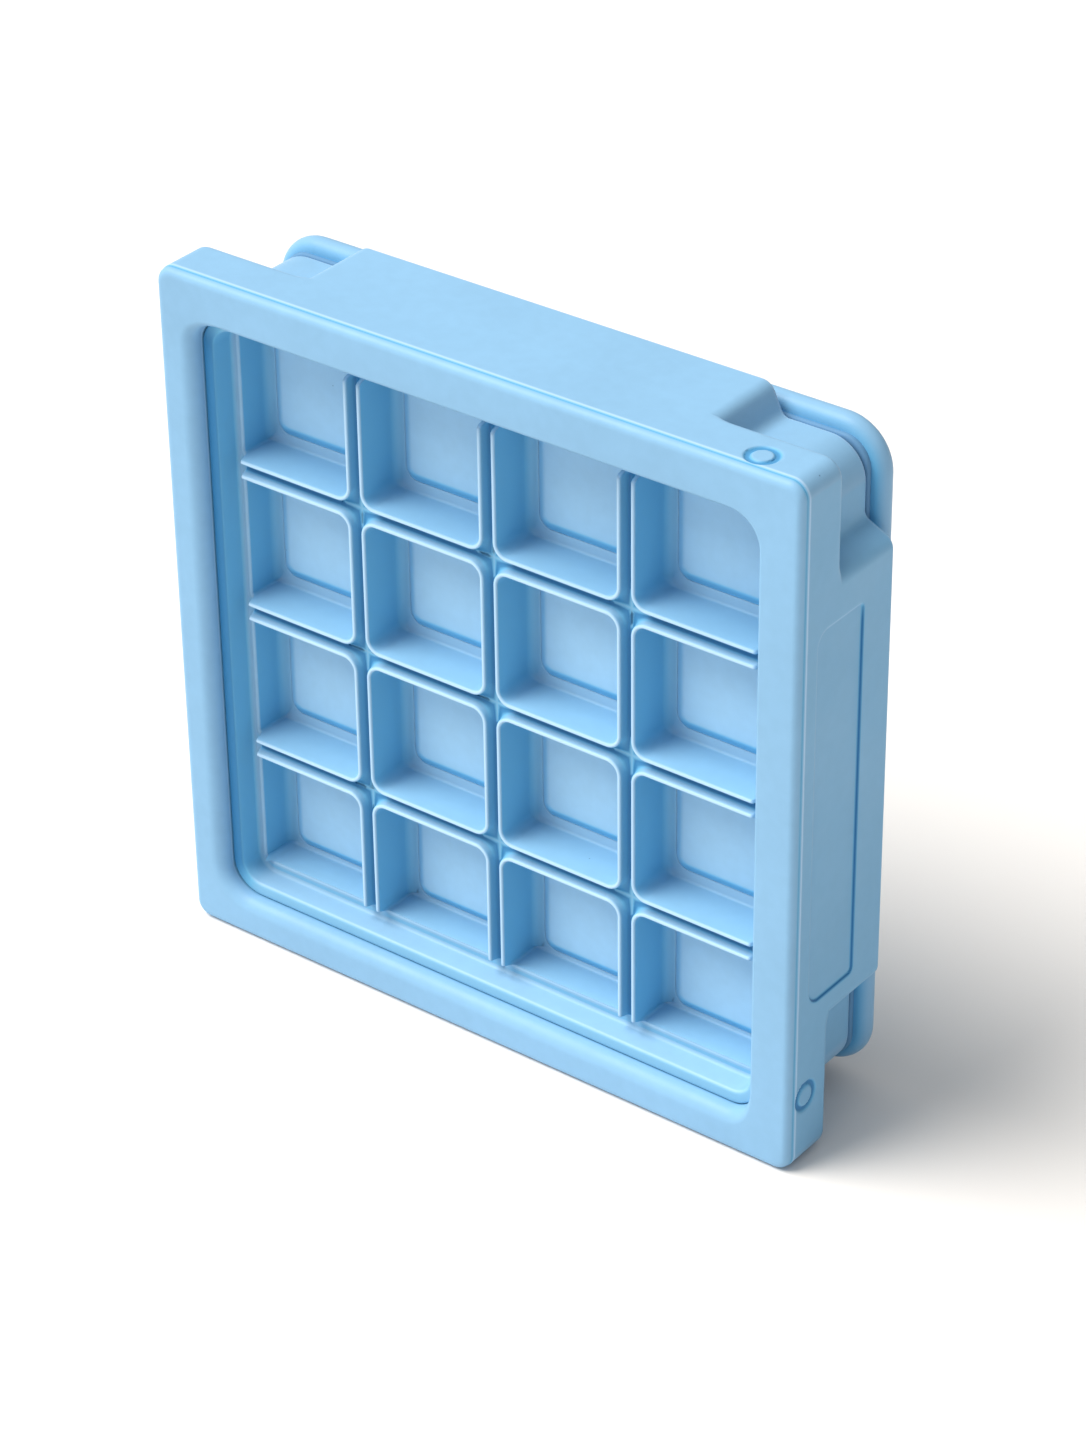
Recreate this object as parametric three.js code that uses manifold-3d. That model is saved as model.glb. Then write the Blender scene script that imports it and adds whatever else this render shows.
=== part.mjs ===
// Cryogenic storage box: a square window frame with a skirt, a sixteen-cell tray that lifts out of the
// window, one pad in each cell, and a rear cover that carries the insulation slab and its seal.
// Millimetres, +Z up. The box stands on one edge with its cells facing -Y.
import * as THREE from "three";
import { mergeVertices } from "three/addons/utils/BufferGeometryUtils.js";
import Module from "manifold-3d";

const wasm = await Module();
wasm.setup();

// Overall size
const SIDE = 133; // outside width and height
const DEPTH = 32.0; // front face to back of the rear cover
const HALF = SIDE / 2;

// Shell
const FRAME_DEPTH = 11.4; // full-outline front part
const SKIRT_END = 26.5; // depth at which the skirt stops
const EDGE_R = 1.4; // rounding of the outer edges
const OUTER_R = 3.2; // corner radius seen from the front
const WINDOW_INSET = 8.0;
const WINDOW_R = 6.0;
const LIP_R = 2.0;
const STEP_IN = 5.3; // how far the notched corners step in
const STEP_R = 7.0;
const NOTCH = 25; // length of each corner notch along a side
const NOTCH_DRAFT = 3.2;
const SIDE_RAISED = 3.0; // how far the upright sides' raised parts sit above the middle
const SEAT_FRONT = 10.1; // ledge that the tray rests on
const SEAT_BACK = 12.1;
const SEAT_INSET = 10.0;
const BORE_INSET = 7.6; // bore for the rear cover's plug
const SLOT_OUTER = 2.2; // slots that core out the skirt walls
const SLOT_INNER = 5.4;
const SLOT_FRONT = 2.8;
const SLOT_HALF = 39;
const PANEL_DEEP = 0.5;
const PANEL_FROM = 5.2;
const PANEL_TO = 18.0;
const PANEL_LONG = 72;
const PANEL_UP = 1.7;
const PANEL_R = 2.8;
const MARK_R = 3.0; // plain ring marks at one corner
const MARK_DEEP = 0.4;
const MARK_AT = 55.5;

// Cell tray
const PITCH = 28.5;
const CELLS = 4;
const TRAY_HALF = HALF - WINDOW_INSET - 0.3;
const TRAY_R = 5.7;
const TRAY_FRONT = 3.0;
const TRAY_WALL = 2.0;
const WEB_FRONT = 7.7;
const WEB_BACK = 9.8;
const RIB_FRONT = 5.4; // crest of the cell rims
const GROOVE_FRONT = 7.3; // floor of the groove between two rims
const CELL_HALF = 12.4;
const CELL_R = 2.2;
const CELL_WALL = 1.0;
const CELL_FLOOR = 14.3;
const CELL_BACK = 16.4;
const PAD_POCKET = 15.2;
const RIB_END = 54.6; // the rims stop here, short of the tray wall

// Cell pads
const PAD_HALF = 9.9;
const PAD_R = 4.2;
const PAD_FRONT = 13.3;
const PAD_BACK = 14.9;

// Rear cover, seal and insulation
const COVER_INSET = 3.2;
const COVER_R = 9.0;
const COVER_FRONT = 27.1;
const COVER_EDGE_R = 1.9;
const PLUG_HALF = 58.5;
const PLUG_R = 4.6;
const PLUG_FRONT = 17.5;
const PLUG_WALL = 2.2;
const COVER_PLATE = 2.2;
const SEAL_OUTER = 60.9;
const SEAL_INNER = 59.2;
const SEAL_FRONT = 26.8;
const SEAL_BACK = 28.0;
const SLAB_HALF = 56.0;
const SLAB_FRONT = 16.8;
const SLAB_BACK = 29.4;

const ARC = 4; // segments in a quarter circle
const CELL_ARC = 2; // the same, on the small corners of cells and pads

// ---- shapes in the plane of the front face, and solids carried back from it ----

function roundedSquare(half, r, cx = 0, cz = 0) {
  const s = new THREE.Shape();
  s.moveTo(cx - half + r, cz - half);
  s.lineTo(cx + half - r, cz - half);
  s.absarc(cx + half - r, cz - half + r, r, -Math.PI / 2, 0, false);
  s.lineTo(cx + half, cz + half - r);
  s.absarc(cx + half - r, cz + half - r, r, 0, Math.PI / 2, false);
  s.lineTo(cx - half + r, cz + half);
  s.absarc(cx - half + r, cz + half - r, r, Math.PI / 2, Math.PI, false);
  s.lineTo(cx - half, cz - half + r);
  s.absarc(cx - half + r, cz - half + r, r, Math.PI, Math.PI * 1.5, false);
  return s;
}

// Carries a shape from one depth to another, with its edges rounded by `bevel` when one is given.
function slab(shape, from, to, bevel = 0, segments = 3, arc = ARC) {
  const g = new THREE.ExtrudeGeometry(shape, {
    depth: to - from - 2 * bevel,
    curveSegments: arc,
    bevelEnabled: bevel > 0,
    bevelThickness: bevel,
    bevelSize: bevel,
    bevelOffset: -bevel,
    bevelSegments: segments,
  });
  g.rotateX(Math.PI / 2);
  g.translate(0, to - bevel - DEPTH / 2, HALF);
  return g;
}

function box(x0, x1, d0, d1, z0, z1) {
  const g = new THREE.BoxGeometry(x1 - x0, d1 - d0, z1 - z0);
  g.translate((x0 + x1) / 2, (d0 + d1) / 2 - DEPTH / 2, (z0 + z1) / 2 + HALF);
  return g;
}

// ---- solids to and from manifold-3d ----

function solid(geometry) {
  const g = geometry.clone();
  g.deleteAttribute("normal");
  g.deleteAttribute("uv");
  const m = mergeVertices(g, 1e-4);
  const mesh = new wasm.Mesh({
    numProp: 3,
    vertProperties: m.attributes.position.array,
    triVerts: new Uint32Array(m.index.array),
  });
  return new wasm.Manifold(mesh);
}

function geometryOf(manifold) {
  const mesh = manifold.getMesh();
  const g = new THREE.BufferGeometry();
  g.setAttribute("position", new THREE.BufferAttribute(mesh.vertProperties, 3));
  g.setIndex(new THREE.BufferAttribute(mesh.triVerts, 1));
  const flat = g.toNonIndexed();
  flat.computeVertexNormals();
  return flat;
}

function cellCentres() {
  const list = [];
  for (let row = 0; row < CELLS; row++) {
    for (let col = 0; col < CELLS; col++) {
      const x = (col - (CELLS - 1) / 2) * PITCH;
      const z = ((CELLS - 1) / 2 - row) * PITCH;
      list.push({ row: row + 1, col: col + 1, x, z });
    }
  }
  return list;
}

// ---- shell: window frame, skirt and notched corners in one moulding ----

function sideBoss() {
  const s = new THREE.Shape();
  const outer = HALF - NOTCH;
  s.moveTo(-outer - NOTCH_DRAFT, HALF - STEP_IN - 4);
  s.lineTo(outer + NOTCH_DRAFT, HALF - STEP_IN - 4);
  s.lineTo(outer + NOTCH_DRAFT, HALF - STEP_IN);
  s.lineTo(outer, HALF);
  s.lineTo(-outer, HALF);
  s.lineTo(-outer - NOTCH_DRAFT, HALF - STEP_IN);
  return s;
}

function turned(geometry, quarter) {
  const g = geometry.clone();
  g.translate(0, 0, -HALF);
  g.rotateY((quarter * Math.PI) / 2);
  g.translate(0, 0, HALF);
  return g;
}

function panelCut(sign) {
  const s = new THREE.Shape();
  const w = (PANEL_TO - PANEL_FROM) / 2;
  const h = PANEL_LONG / 2;
  const r = PANEL_R;
  s.moveTo(-w + r, -h);
  s.lineTo(w - r, -h);
  s.absarc(w - r, -h + r, r, -Math.PI / 2, 0, false);
  s.lineTo(w, h - r);
  s.absarc(w - r, h - r, r, 0, Math.PI / 2, false);
  s.lineTo(-w + r, h);
  s.absarc(-w + r, h - r, r, Math.PI / 2, Math.PI, false);
  s.lineTo(-w, -h + r);
  s.absarc(-w + r, -h + r, r, Math.PI, Math.PI * 1.5, false);
  const g = new THREE.ExtrudeGeometry(s, {
    depth: 2,
    curveSegments: 3,
    bevelEnabled: false,
  });
  // The drawing's x runs back from the front face, its y runs up, and it is cut inwards from the side
  const basis = new THREE.Matrix4().makeBasis(
    new THREE.Vector3(0, 1, 0),
    new THREE.Vector3(0, 0, 1),
    new THREE.Vector3(1, 0, 0),
  );
  g.applyMatrix4(basis);
  g.translate(
    sign * (HALF - PANEL_DEEP + 1) - 1,
    (PANEL_FROM + PANEL_TO) / 2 - DEPTH / 2,
    HALF + PANEL_UP,
  );
  return g;
}

function ringMark(axis) {
  const outer = new THREE.CylinderGeometry(MARK_R, MARK_R, 2, 16);
  const inner = new THREE.CylinderGeometry(MARK_R - 1.1, MARK_R - 1.1, 3, 16);
  const d = 4.9 - DEPTH / 2;
  for (const g of [outer, inner]) {
    if (axis === "z") {
      g.rotateX(Math.PI / 2);
      g.translate(MARK_AT, d, SIDE - MARK_DEEP + 1);
    } else {
      g.rotateZ(Math.PI / 2);
      g.translate(HALF - MARK_DEEP + 1, d, HALF - MARK_AT + 3);
    }
  }
  return solid(outer).subtract(solid(inner));
}

function shell() {
  const front = roundedSquare(HALF, OUTER_R);
  let body = solid(slab(front, 0, FRAME_DEPTH, EDGE_R));
  const stepped = roundedSquare(HALF - STEP_IN, STEP_R);
  body = body.add(solid(slab(stepped, 5, SKIRT_END, 0.5, 1)));
  for (let q = 0; q < 4; q++) {
    const raised = turned(slab(sideBoss(), 5, SKIRT_END, 0.5, 1), q);
    const inside = HALF - SLOT_INNER;
    const outside = HALF - SLOT_OUTER;
    const slot = box(-SLOT_HALF, SLOT_HALF, SLOT_FRONT, SKIRT_END + 1, inside, outside);
    const cored = turned(slot, q);
    if (q % 2 === 1) {
      raised.translate(0, 0, SIDE_RAISED);
      cored.translate(0, 0, SIDE_RAISED);
    }
    body = body.add(solid(raised)).subtract(solid(cored));
  }
  // The window, flared towards the front so that its lip is rounded
  const lip = roundedSquare(HALF - 1, OUTER_R);
  lip.holes.push(roundedSquare(HALF - WINDOW_INSET, WINDOW_R));
  const mouth = roundedSquare(HALF - WINDOW_INSET + LIP_R + 0.6, WINDOW_R);
  const window = solid(slab(mouth, -1, LIP_R));
  const roundedLip = solid(slab(lip, 0, 2 * LIP_R, LIP_R, 4));
  body = body.subtract(window.subtract(roundedLip));
  body = body.subtract(
    solid(slab(roundedSquare(HALF - WINDOW_INSET, WINDOW_R), LIP_R - 1, SEAT_FRONT)),
  );
  const seatHole = roundedSquare(HALF - SEAT_INSET, 4);
  body = body.subtract(solid(slab(seatHole, SEAT_FRONT - 1, SEAT_BACK + 1)));
  const bore = roundedSquare(HALF - BORE_INSET, 5);
  body = body.subtract(solid(slab(bore, SEAT_BACK, SKIRT_END + 1)));
  for (const sign of [-1, 1]) {
    body = body.subtract(solid(panelCut(sign)));
  }
  body = body.subtract(ringMark("z"));
  body = body.subtract(ringMark("x"));
  return geometryOf(body);
}

// ---- cell tray: sixteen square cells, rims and a wall round them ----

function cellTray() {
  let tray = solid(slab(roundedSquare(TRAY_HALF, TRAY_R), TRAY_FRONT, WEB_BACK));
  const inner = roundedSquare(TRAY_HALF - TRAY_WALL, TRAY_R - TRAY_WALL);
  tray = tray.subtract(solid(slab(inner, TRAY_FRONT - 1, WEB_FRONT)));
  const reach = RIB_END - 1;
  for (let i = 1; i < CELLS; i++) {
    const at = (i - CELLS / 2) * PITCH;
    const up = box(at - 1.2, at + 1.2, GROOVE_FRONT, WEB_FRONT + 0.5, -reach, reach);
    const across = box(-reach, reach, GROOVE_FRONT, WEB_FRONT + 0.5, at - 1.2, at + 1.2);
    tray = tray.add(solid(up)).add(solid(across));
  }
  const outerHalf = CELL_HALF + CELL_WALL;
  let cups = null;
  for (const c of cellCentres()) {
    const rim = roundedSquare(outerHalf, CELL_R + CELL_WALL, c.x, c.z);
    const cup = solid(slab(rim, RIB_FRONT, CELL_BACK, 0, 0, CELL_ARC));
    cups = cups ? cups.add(cup) : cup;
  }
  const clear = roundedSquare(TRAY_HALF - 0.1, 4);
  clear.holes.push(roundedSquare(RIB_END, 1.5));
  cups = cups.subtract(solid(slab(clear, RIB_FRONT - 1, WEB_FRONT)));
  tray = tray.add(cups);
  for (const c of cellCentres()) {
    const hole = roundedSquare(CELL_HALF, CELL_R, c.x, c.z);
    const cell = solid(slab(hole, TRAY_FRONT, CELL_FLOOR, 0, 0, CELL_ARC));
    const seatShape = roundedSquare(PAD_HALF + 0.3, PAD_R + 0.3, c.x, c.z);
    const seat = solid(slab(seatShape, CELL_FLOOR - 1, PAD_POCKET, 0, 0, CELL_ARC));
    tray = tray.subtract(cell).subtract(seat);
  }
  return geometryOf(tray);
}

// ---- pad that cushions the bottom of one cell ----

function cellPad(c) {
  return slab(roundedSquare(PAD_HALF, PAD_R, c.x, c.z), PAD_FRONT, PAD_BACK, 0.7, 1, CELL_ARC);
}

// ---- rear cover: flanged plate with a plug wall ----

function rearCover() {
  const flange = roundedSquare(HALF - COVER_INSET, COVER_R);
  let cover = solid(slab(flange, COVER_FRONT, DEPTH, COVER_EDGE_R, 3));
  cover = cover.add(solid(slab(roundedSquare(PLUG_HALF, PLUG_R), PLUG_FRONT, COVER_FRONT + 1)));
  const hollow = roundedSquare(PLUG_HALF - PLUG_WALL, PLUG_R - 1);
  cover = cover.subtract(solid(slab(hollow, PLUG_FRONT - 1, DEPTH - COVER_PLATE)));
  const groove = roundedSquare(SEAL_OUTER + 0.3, 5.6);
  groove.holes.push(roundedSquare(SEAL_INNER - 0.3, 4.8));
  cover = cover.subtract(solid(slab(groove, COVER_FRONT - 1, SEAL_BACK + 0.3)));
  return geometryOf(cover);
}

function coverSeal() {
  const ring = roundedSquare(SEAL_OUTER, 5.4);
  ring.holes.push(roundedSquare(SEAL_INNER, 4.9));
  return slab(ring, SEAL_FRONT, SEAL_BACK);
}

// ---- insulation slab held in the rear cover ----

function insulationSlab() {
  return slab(roundedSquare(SLAB_HALF, 3.2), SLAB_FRONT, SLAB_BACK, 0.6, 1);
}

// ---- scene ----

const plastic = { color: "#8fc1e8", roughness: 0.46, metalness: 0 };

function mesh(name, geometry, material) {
  const m = new THREE.Mesh(geometry, new THREE.MeshStandardMaterial(material));
  m.name = name;
  return m;
}

const part = new THREE.Group();
part.name = "cryogenic_storage_box";
part.add(mesh("shell", shell(), plastic));
part.add(mesh("cell_tray", cellTray(), { ...plastic, color: "#8abde6" }));
for (const c of cellCentres()) {
  const pad = { ...plastic, color: "#93c3e8", roughness: 0.55 };
  part.add(mesh("cell_pad_r" + c.row + "c" + c.col, cellPad(c), pad));
}
part.add(mesh("rear_cover", rearCover(), { ...plastic, color: "#8cbfe8" }));
part.add(mesh("cover_seal", coverSeal(), { color: "#5c8db8", roughness: 0.7, metalness: 0 }));
part.add(mesh("insulation_slab", insulationSlab(), { color: "#dfe9f1", roughness: 0.9, metalness: 0 }));

export default part;
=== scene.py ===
"""Looks of the cryogenic storage box: a notched shell with a window, a sixteen-cell tray, its pads, and
the rear cover with its seal and insulation slab, on a pale studio floor. Every surface is a formula on a
grid."""

import math

import bmesh
import bpy
import numpy as np
from mathutils import Matrix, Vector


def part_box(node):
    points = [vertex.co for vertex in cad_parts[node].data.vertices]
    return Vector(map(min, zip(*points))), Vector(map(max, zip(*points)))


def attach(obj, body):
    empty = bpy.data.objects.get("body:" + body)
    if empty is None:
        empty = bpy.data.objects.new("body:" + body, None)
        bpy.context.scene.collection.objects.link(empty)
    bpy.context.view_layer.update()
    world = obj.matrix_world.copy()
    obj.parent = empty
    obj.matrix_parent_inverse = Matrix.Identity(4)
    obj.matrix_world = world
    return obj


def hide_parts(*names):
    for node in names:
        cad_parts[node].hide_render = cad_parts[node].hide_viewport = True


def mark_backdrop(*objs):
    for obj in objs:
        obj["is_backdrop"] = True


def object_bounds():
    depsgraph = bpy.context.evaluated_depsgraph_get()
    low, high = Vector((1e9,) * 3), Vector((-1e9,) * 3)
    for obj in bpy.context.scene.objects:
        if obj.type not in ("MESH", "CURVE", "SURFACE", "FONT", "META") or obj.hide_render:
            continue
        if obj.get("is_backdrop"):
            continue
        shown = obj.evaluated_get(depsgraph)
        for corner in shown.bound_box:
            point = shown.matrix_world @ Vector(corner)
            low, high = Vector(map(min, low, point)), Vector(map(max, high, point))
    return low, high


bl_info = {
    "name": "Cryogenic Storage Box",
    "version": (1, 0, 0),
    "blender": (4, 5, 0),
    "location": "3D View > Sidebar > Cryo Box",
    "description": "Builds the moulded surfaces, plastics and studio of a cryogenic storage box",
    "category": "Add Mesh",
}

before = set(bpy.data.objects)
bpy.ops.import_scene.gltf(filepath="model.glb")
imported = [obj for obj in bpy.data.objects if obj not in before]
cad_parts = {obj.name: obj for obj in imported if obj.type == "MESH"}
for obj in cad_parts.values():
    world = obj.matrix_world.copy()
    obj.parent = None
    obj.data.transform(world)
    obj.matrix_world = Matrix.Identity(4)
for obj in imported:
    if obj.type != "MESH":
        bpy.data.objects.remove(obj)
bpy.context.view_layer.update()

MM = 0.001
SHELL_LO, SHELL_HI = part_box("shell")
FRONT_Y = SHELL_LO.y
MID_X = (SHELL_LO.x + SHELL_HI.x) / 2
MID_Z = (SHELL_LO.z + SHELL_HI.z) / 2
HALF = (SHELL_HI.x - SHELL_LO.x) / 2 / MM
SKIRT_END = (SHELL_HI.y - SHELL_LO.y) / MM


def depth_of(y):
    """Millimetres behind the front face of a Y position in metres."""
    return (y - FRONT_Y) / MM


def extent(node):
    """Half the width of a node's box, and its front and back depths, in millimetres."""
    lo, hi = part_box(node)
    return (hi.x - lo.x) / 2 / MM, depth_of(lo.y), depth_of(hi.y)


TRAY_HALF, TRAY_FRONT, TRAY_BACK = extent("cell_tray")
PAD_HALF, PAD_FRONT, PAD_BACK = extent("cell_pad_r1c1")
COVER_HALF, PLUG_FRONT, COVER_BACK = extent("rear_cover")
SEAL_HALF, SEAL_FRONT, SEAL_BACK = extent("cover_seal")
SLAB_HALF, SLAB_FRONT, SLAB_BACK = extent("insulation_slab")
CELLS = 4
CELL_PLACES = [(row, col) for row in range(1, CELLS + 1) for col in range(1, CELLS + 1)]

# Tuples of four hold the lower, right, upper and left side, as seen from the front.
TANGENTS = np.array([[1, 0], [0, 1], [-1, 0], [0, -1]], float)
NORMALS = np.array([[0, -1], [1, 0], [0, 1], [-1, 0]], float)
RIGHT, UPPER, LEFT = 1, 2, 3

# Shell: depths lie behind the front face and insets inside its outline, both in millimetres
FRAME_END = 11.4  # back of the frame part, where the notches start
LEDGE_FRONT, LEDGE_BACK, LEDGE_INSET = 10.1, 12.1, 10.0  # the ledge that the tray rests on
BORE_INSET = 7.6
WINDOW_INSET = (7.65, 8.2, 8.2, 7.4)
LIP_SHARE = (1.2, 0.3, 0.3, 1.25)  # of the lip radius
WINDOW_RADIUS = 6.0
FRAME_RADIUS, SKIRT_RADIUS = 3.2, 7.0  # corner radii of the frame and of the notched part behind it
STEADY, LIMIT = 49.0, 63.3  # columns keep their place up to STEADY, then spread to reach the corner
SLOT_HALF, SLOT_DEEP = 39.0, 12  # the slots that core out the skirt
PANEL_UP, PANEL_MID = 1.7, 11.6  # the side panel's middle: its height over the box's, and its depth
PANEL_TALL, PANEL_WIDE = 36.0, 6.4  # half its height and half its width
MARK_MID, MARK_RADIUS, MARK_DEEP = 4.9, 2.45, 0.35  # the ring marks' depth, radius and groove
MARK_UPPER, MARK_RIGHT = -55.5, -52.5  # their places along the upper and right sides

# Cell tray
WEB_FRONT, WEB_BACK, WEB_FILLET = 7.7, 9.8, 0.7
GROOVE_FLOOR = 7.3
CELL_FLOOR = 14.3
TRAY_WALL = 2.0
RIM_NOSE = 0.42  # rounding of a cell rim's crest
RIM_RISE = 1.5  # a rim this high over its groove has its full tone
TRAY_TINT = (1.15, 1.08, 1.02)
# The pads' plastic is a brighter copy of the plastic, painted light on the cell floors
PAD_TINT = (1.42, 1.3, 1.22)

# Rear cover
PLUG_HALF, PLUG_WALL = 58.5, 2.2
COVER_RADIUS = 9.0
COVER_SIDES = np.linspace(-1, 1, 25)

# Stage
KEY_FROM, KEY_COLOUR, KEY_SOFTNESS = (-0.42, -0.37, 0.83), (1.0, 0.935, 0.87), 40.0
SKY_TOWARDS = (-0.6, -0.5, 0.62)
SKY_LOW, SKY_HIGH = 0.15, 1.85  # shares of the mean strength away from and towards SKY_TOWARDS
FLOOR_HALF = 6.0
SENSOR = 36.0


# ---- curves and grids ----


def step(x, start, width):
    """A smooth rise from 0 at start to 1 at start + width: three t squared minus two t cubed."""
    t = np.clip((np.asarray(x, float) - start) / width, 0.0, 1.0)
    return t * t * (3 - 2 * t)


def round_in(x, r):
    """How far a quarter-round edge of radius r has fallen away at a distance x from its end."""
    t = np.clip(r - np.asarray(x, float), 0.0, r)
    return r - np.sqrt(np.maximum(r * r - t * t, 0.0))


def ridge(x, centre, width):
    """A bell curve: 1 at the centre, and 1/e at a width from it."""
    return np.exp(-(((x - centre) / width) ** 2))


def quarter(count):
    """Evenly spaced angles from 0 to a quarter turn."""
    return np.linspace(0, math.pi / 2, count)


def corner_normals(k, corner):
    """Outward unit vectors of the points inside the corner arc that follows side k."""
    angle = quarter(corner + 2)[1:-1]
    return np.cos(angle)[:, None] * NORMALS[k] + np.sin(angle)[:, None] * TANGENTS[k]


def around(half, radii, sides, corner, square=(0, 0, 0, 0)):
    """One loop round a rounded square, as (U, 2) points.

    Each side is a straight run from one corner arc to the next, and each corner a quarter circle about a
    centre one radius in from both sides. `square` pushes a corner's points out along their rays until they
    lie on the square itself. `sides` holds fractions from -1 to 1 of the straight run."""
    pieces = []
    for k in range(4):
        lo = -(half - radii[k - 1])
        hi = half - radii[k]
        t = lo + (hi - lo) * (np.asarray(sides) + 1) / 2
        pieces.append(t[:, None] * TANGENTS[k] + half * NORMALS[k])
        centre = (half - radii[k]) * (TANGENTS[k] + NORMALS[k])
        arc = corner_normals(k, corner)
        pushed = radii[k] * (1 / np.abs(arc).max(1)) ** square[k]
        pieces.append(centre + pushed[:, None] * arc)
    return np.concatenate(pieces)


def outward(sides, corner):
    """The outward normal of each point of a loop made by `around`, as (U, 2) unit vectors."""
    pieces = []
    for k in range(4):
        pieces += [np.repeat(NORMALS[k : k + 1], len(sides), 0), corner_normals(k, corner)]
    return np.concatenate(pieces)


def by_side(values, normal):
    """One value for each point of a loop from values for its lower, right, upper and left sides, which mix
    round each corner by the squares of the normal's components. Other values hold all round."""
    if not isinstance(values, tuple):
        return np.broadcast_to(values, len(normal))
    low, right, high, left = values
    x, z = normal[:, 0], normal[:, 1]
    upright = np.where(x > 0, right, left) * x * x
    return upright + np.where(z > 0, high, low) * z * z


def place(points, depth):
    """Front-face points and depths, in millimetres, as positions in metres."""
    out = np.empty(points.shape[:-1] + (3,))
    out[..., 0] = MID_X + points[..., 0] * MM
    out[..., 1] = FRONT_Y + depth * MM
    out[..., 2] = MID_Z + points[..., 1] * MM
    return out


def grid_object(name, sheets):
    """One mesh object from sheets of points, each (rows, columns, 3), a mask of painted highlight for its
    raised edges and one of painted shade for its grooves and shaded walls. Columns run round and close on
    themselves. Rows close too, or end in a pole when the first and last row are given as points."""
    coords, faces, edges, grooves = [], [], [], []
    base = 0
    for points, edge, groove, closed in sheets:
        rows, cols = points.shape[:2]
        index = base + np.arange(rows * cols).reshape(rows, cols)
        a = index if closed else index[:-1]
        b = np.roll(index, -1, axis=0) if closed else index[1:]
        quad = np.stack([a, np.roll(a, -1, 1), np.roll(b, -1, 1), b], -1).reshape(-1, 4)
        faces.append(quad)
        coords.append(points.reshape(-1, 3))
        edges.append(np.broadcast_to(edge, (rows, cols)).ravel())
        grooves.append(np.broadcast_to(groove, (rows, cols)).ravel())
        base += rows * cols
        if not closed:
            poles = np.stack([points[0].mean(0), points[-1].mean(0)])
            coords.append(poles)
            edges.append(np.zeros(2))
            grooves.append(np.zeros(2))
            for ring, pole in ((index[0], base), (index[-1], base + 1)):
                tri = np.stack([ring, np.roll(ring, -1), np.full(cols, pole)], -1)
                faces.append(tri)
            base += 2
    mesh = bpy.data.meshes.new(name)
    verts = np.concatenate(coords)
    mesh.vertices.add(len(verts))
    mesh.vertices.foreach_set("co", verts.astype(np.float32).ravel())
    sizes = np.concatenate([np.full(len(f), f.shape[1]) for f in faces])
    corners = np.concatenate([f.ravel() for f in faces])
    mesh.loops.add(len(corners))
    mesh.loops.foreach_set("vertex_index", corners.astype(np.int32))
    mesh.polygons.add(len(sizes))
    starts = np.concatenate([[0], np.cumsum(sizes)[:-1]])
    mesh.polygons.foreach_set("loop_start", starts.astype(np.int32))
    mesh.update(calc_edges=True)
    # Per-point masks of painted highlight and painted shade
    for label, values in (("raised_edge", edges), ("groove", grooves)):
        layer = mesh.attributes.new(label, "FLOAT", "POINT")
        layer.data.foreach_set("value", np.concatenate(values).astype(np.float32))
    work = bmesh.new()
    work.from_mesh(mesh)
    bmesh.ops.remove_doubles(work, verts=work.verts, dist=1e-7)
    bmesh.ops.dissolve_degenerate(work, edges=work.edges, dist=1e-8)
    bmesh.ops.recalc_face_normals(work, faces=work.faces)
    work.to_mesh(mesh)
    work.free()
    mesh.shade_smooth()
    obj = bpy.data.objects.new(name, mesh)
    bpy.context.scene.collection.objects.link(obj)
    return obj


def finish_piece(obj, body, nodes, material, sharp=None):
    """Gives a piece its plastic and its body, and hides the CAD nodes it stands for."""
    obj.data.materials.append(material)
    if sharp is not None:
        obj.data.set_sharp_from_angle(angle=math.radians(sharp))
    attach(obj, body)
    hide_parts(*nodes)


def profile_sheet(stations, sides, corner, closed):
    """Carries a profile round a rounded square. Each station is (half, radius, depth, painted highlight,
    painted shade, shift), where the shift moves it outwards. The last three may hold one value for each
    side, or be left out."""
    normal = outward(sides, corner)
    points, edge, groove = [], [], []
    for station in stations:
        half, radius, depth, e, g, shift = station + (0.0,) * (6 - len(station))
        ring = around(half, (radius,) * 4, sides, corner)
        ring = ring + normal * by_side(shift, normal)[:, None]
        points.append(place(ring, np.full(len(ring), depth)))
        edge.append(by_side(e, normal))
        groove.append(by_side(g, normal))
    return np.array(points), np.array(edge), np.array(groove), closed


# ---- shader node groups ----


def new_group(name, inputs, outputs):
    """An empty shader node group with typed sockets, and its input and output nodes."""
    group = bpy.data.node_groups.new(name, "ShaderNodeTree")
    for kind, label, value in inputs:
        socket = group.interface.new_socket(label, in_out="INPUT", socket_type=kind)
        socket.default_value = value
    for kind, label in outputs:
        group.interface.new_socket(label, in_out="OUTPUT", socket_type=kind)
    source = group.nodes.new("NodeGroupInput")
    target = group.nodes.new("NodeGroupOutput")
    return group, source, target


def feed(tree, slot, value):
    """Gives an input a socket to follow, or a number or colour to hold. None leaves it as it is."""
    if isinstance(value, (int, float, tuple)):
        slot.default_value = value
    elif value is not None:
        tree.links.new(value, slot)


def maths(tree, operation, a, b, c=None, clamp=False):
    """A math node fed by sockets or numbers; returns its output."""
    node = tree.nodes.new("ShaderNodeMath")
    node.operation = operation
    node.use_clamp = clamp
    for slot, value in zip(node.inputs, (a, b, c)):
        feed(tree, slot, value)
    return node.outputs[0]


def blend(tree, factor, a, b):
    """A colour mix node; returns its colour."""
    node = tree.nodes.new("ShaderNodeMix")
    node.data_type = "RGBA"
    for slot, value in ((node.inputs[0], factor), (node.inputs[6], a), (node.inputs[7], b)):
        feed(tree, slot, value)
    return node.outputs[2]


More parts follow.
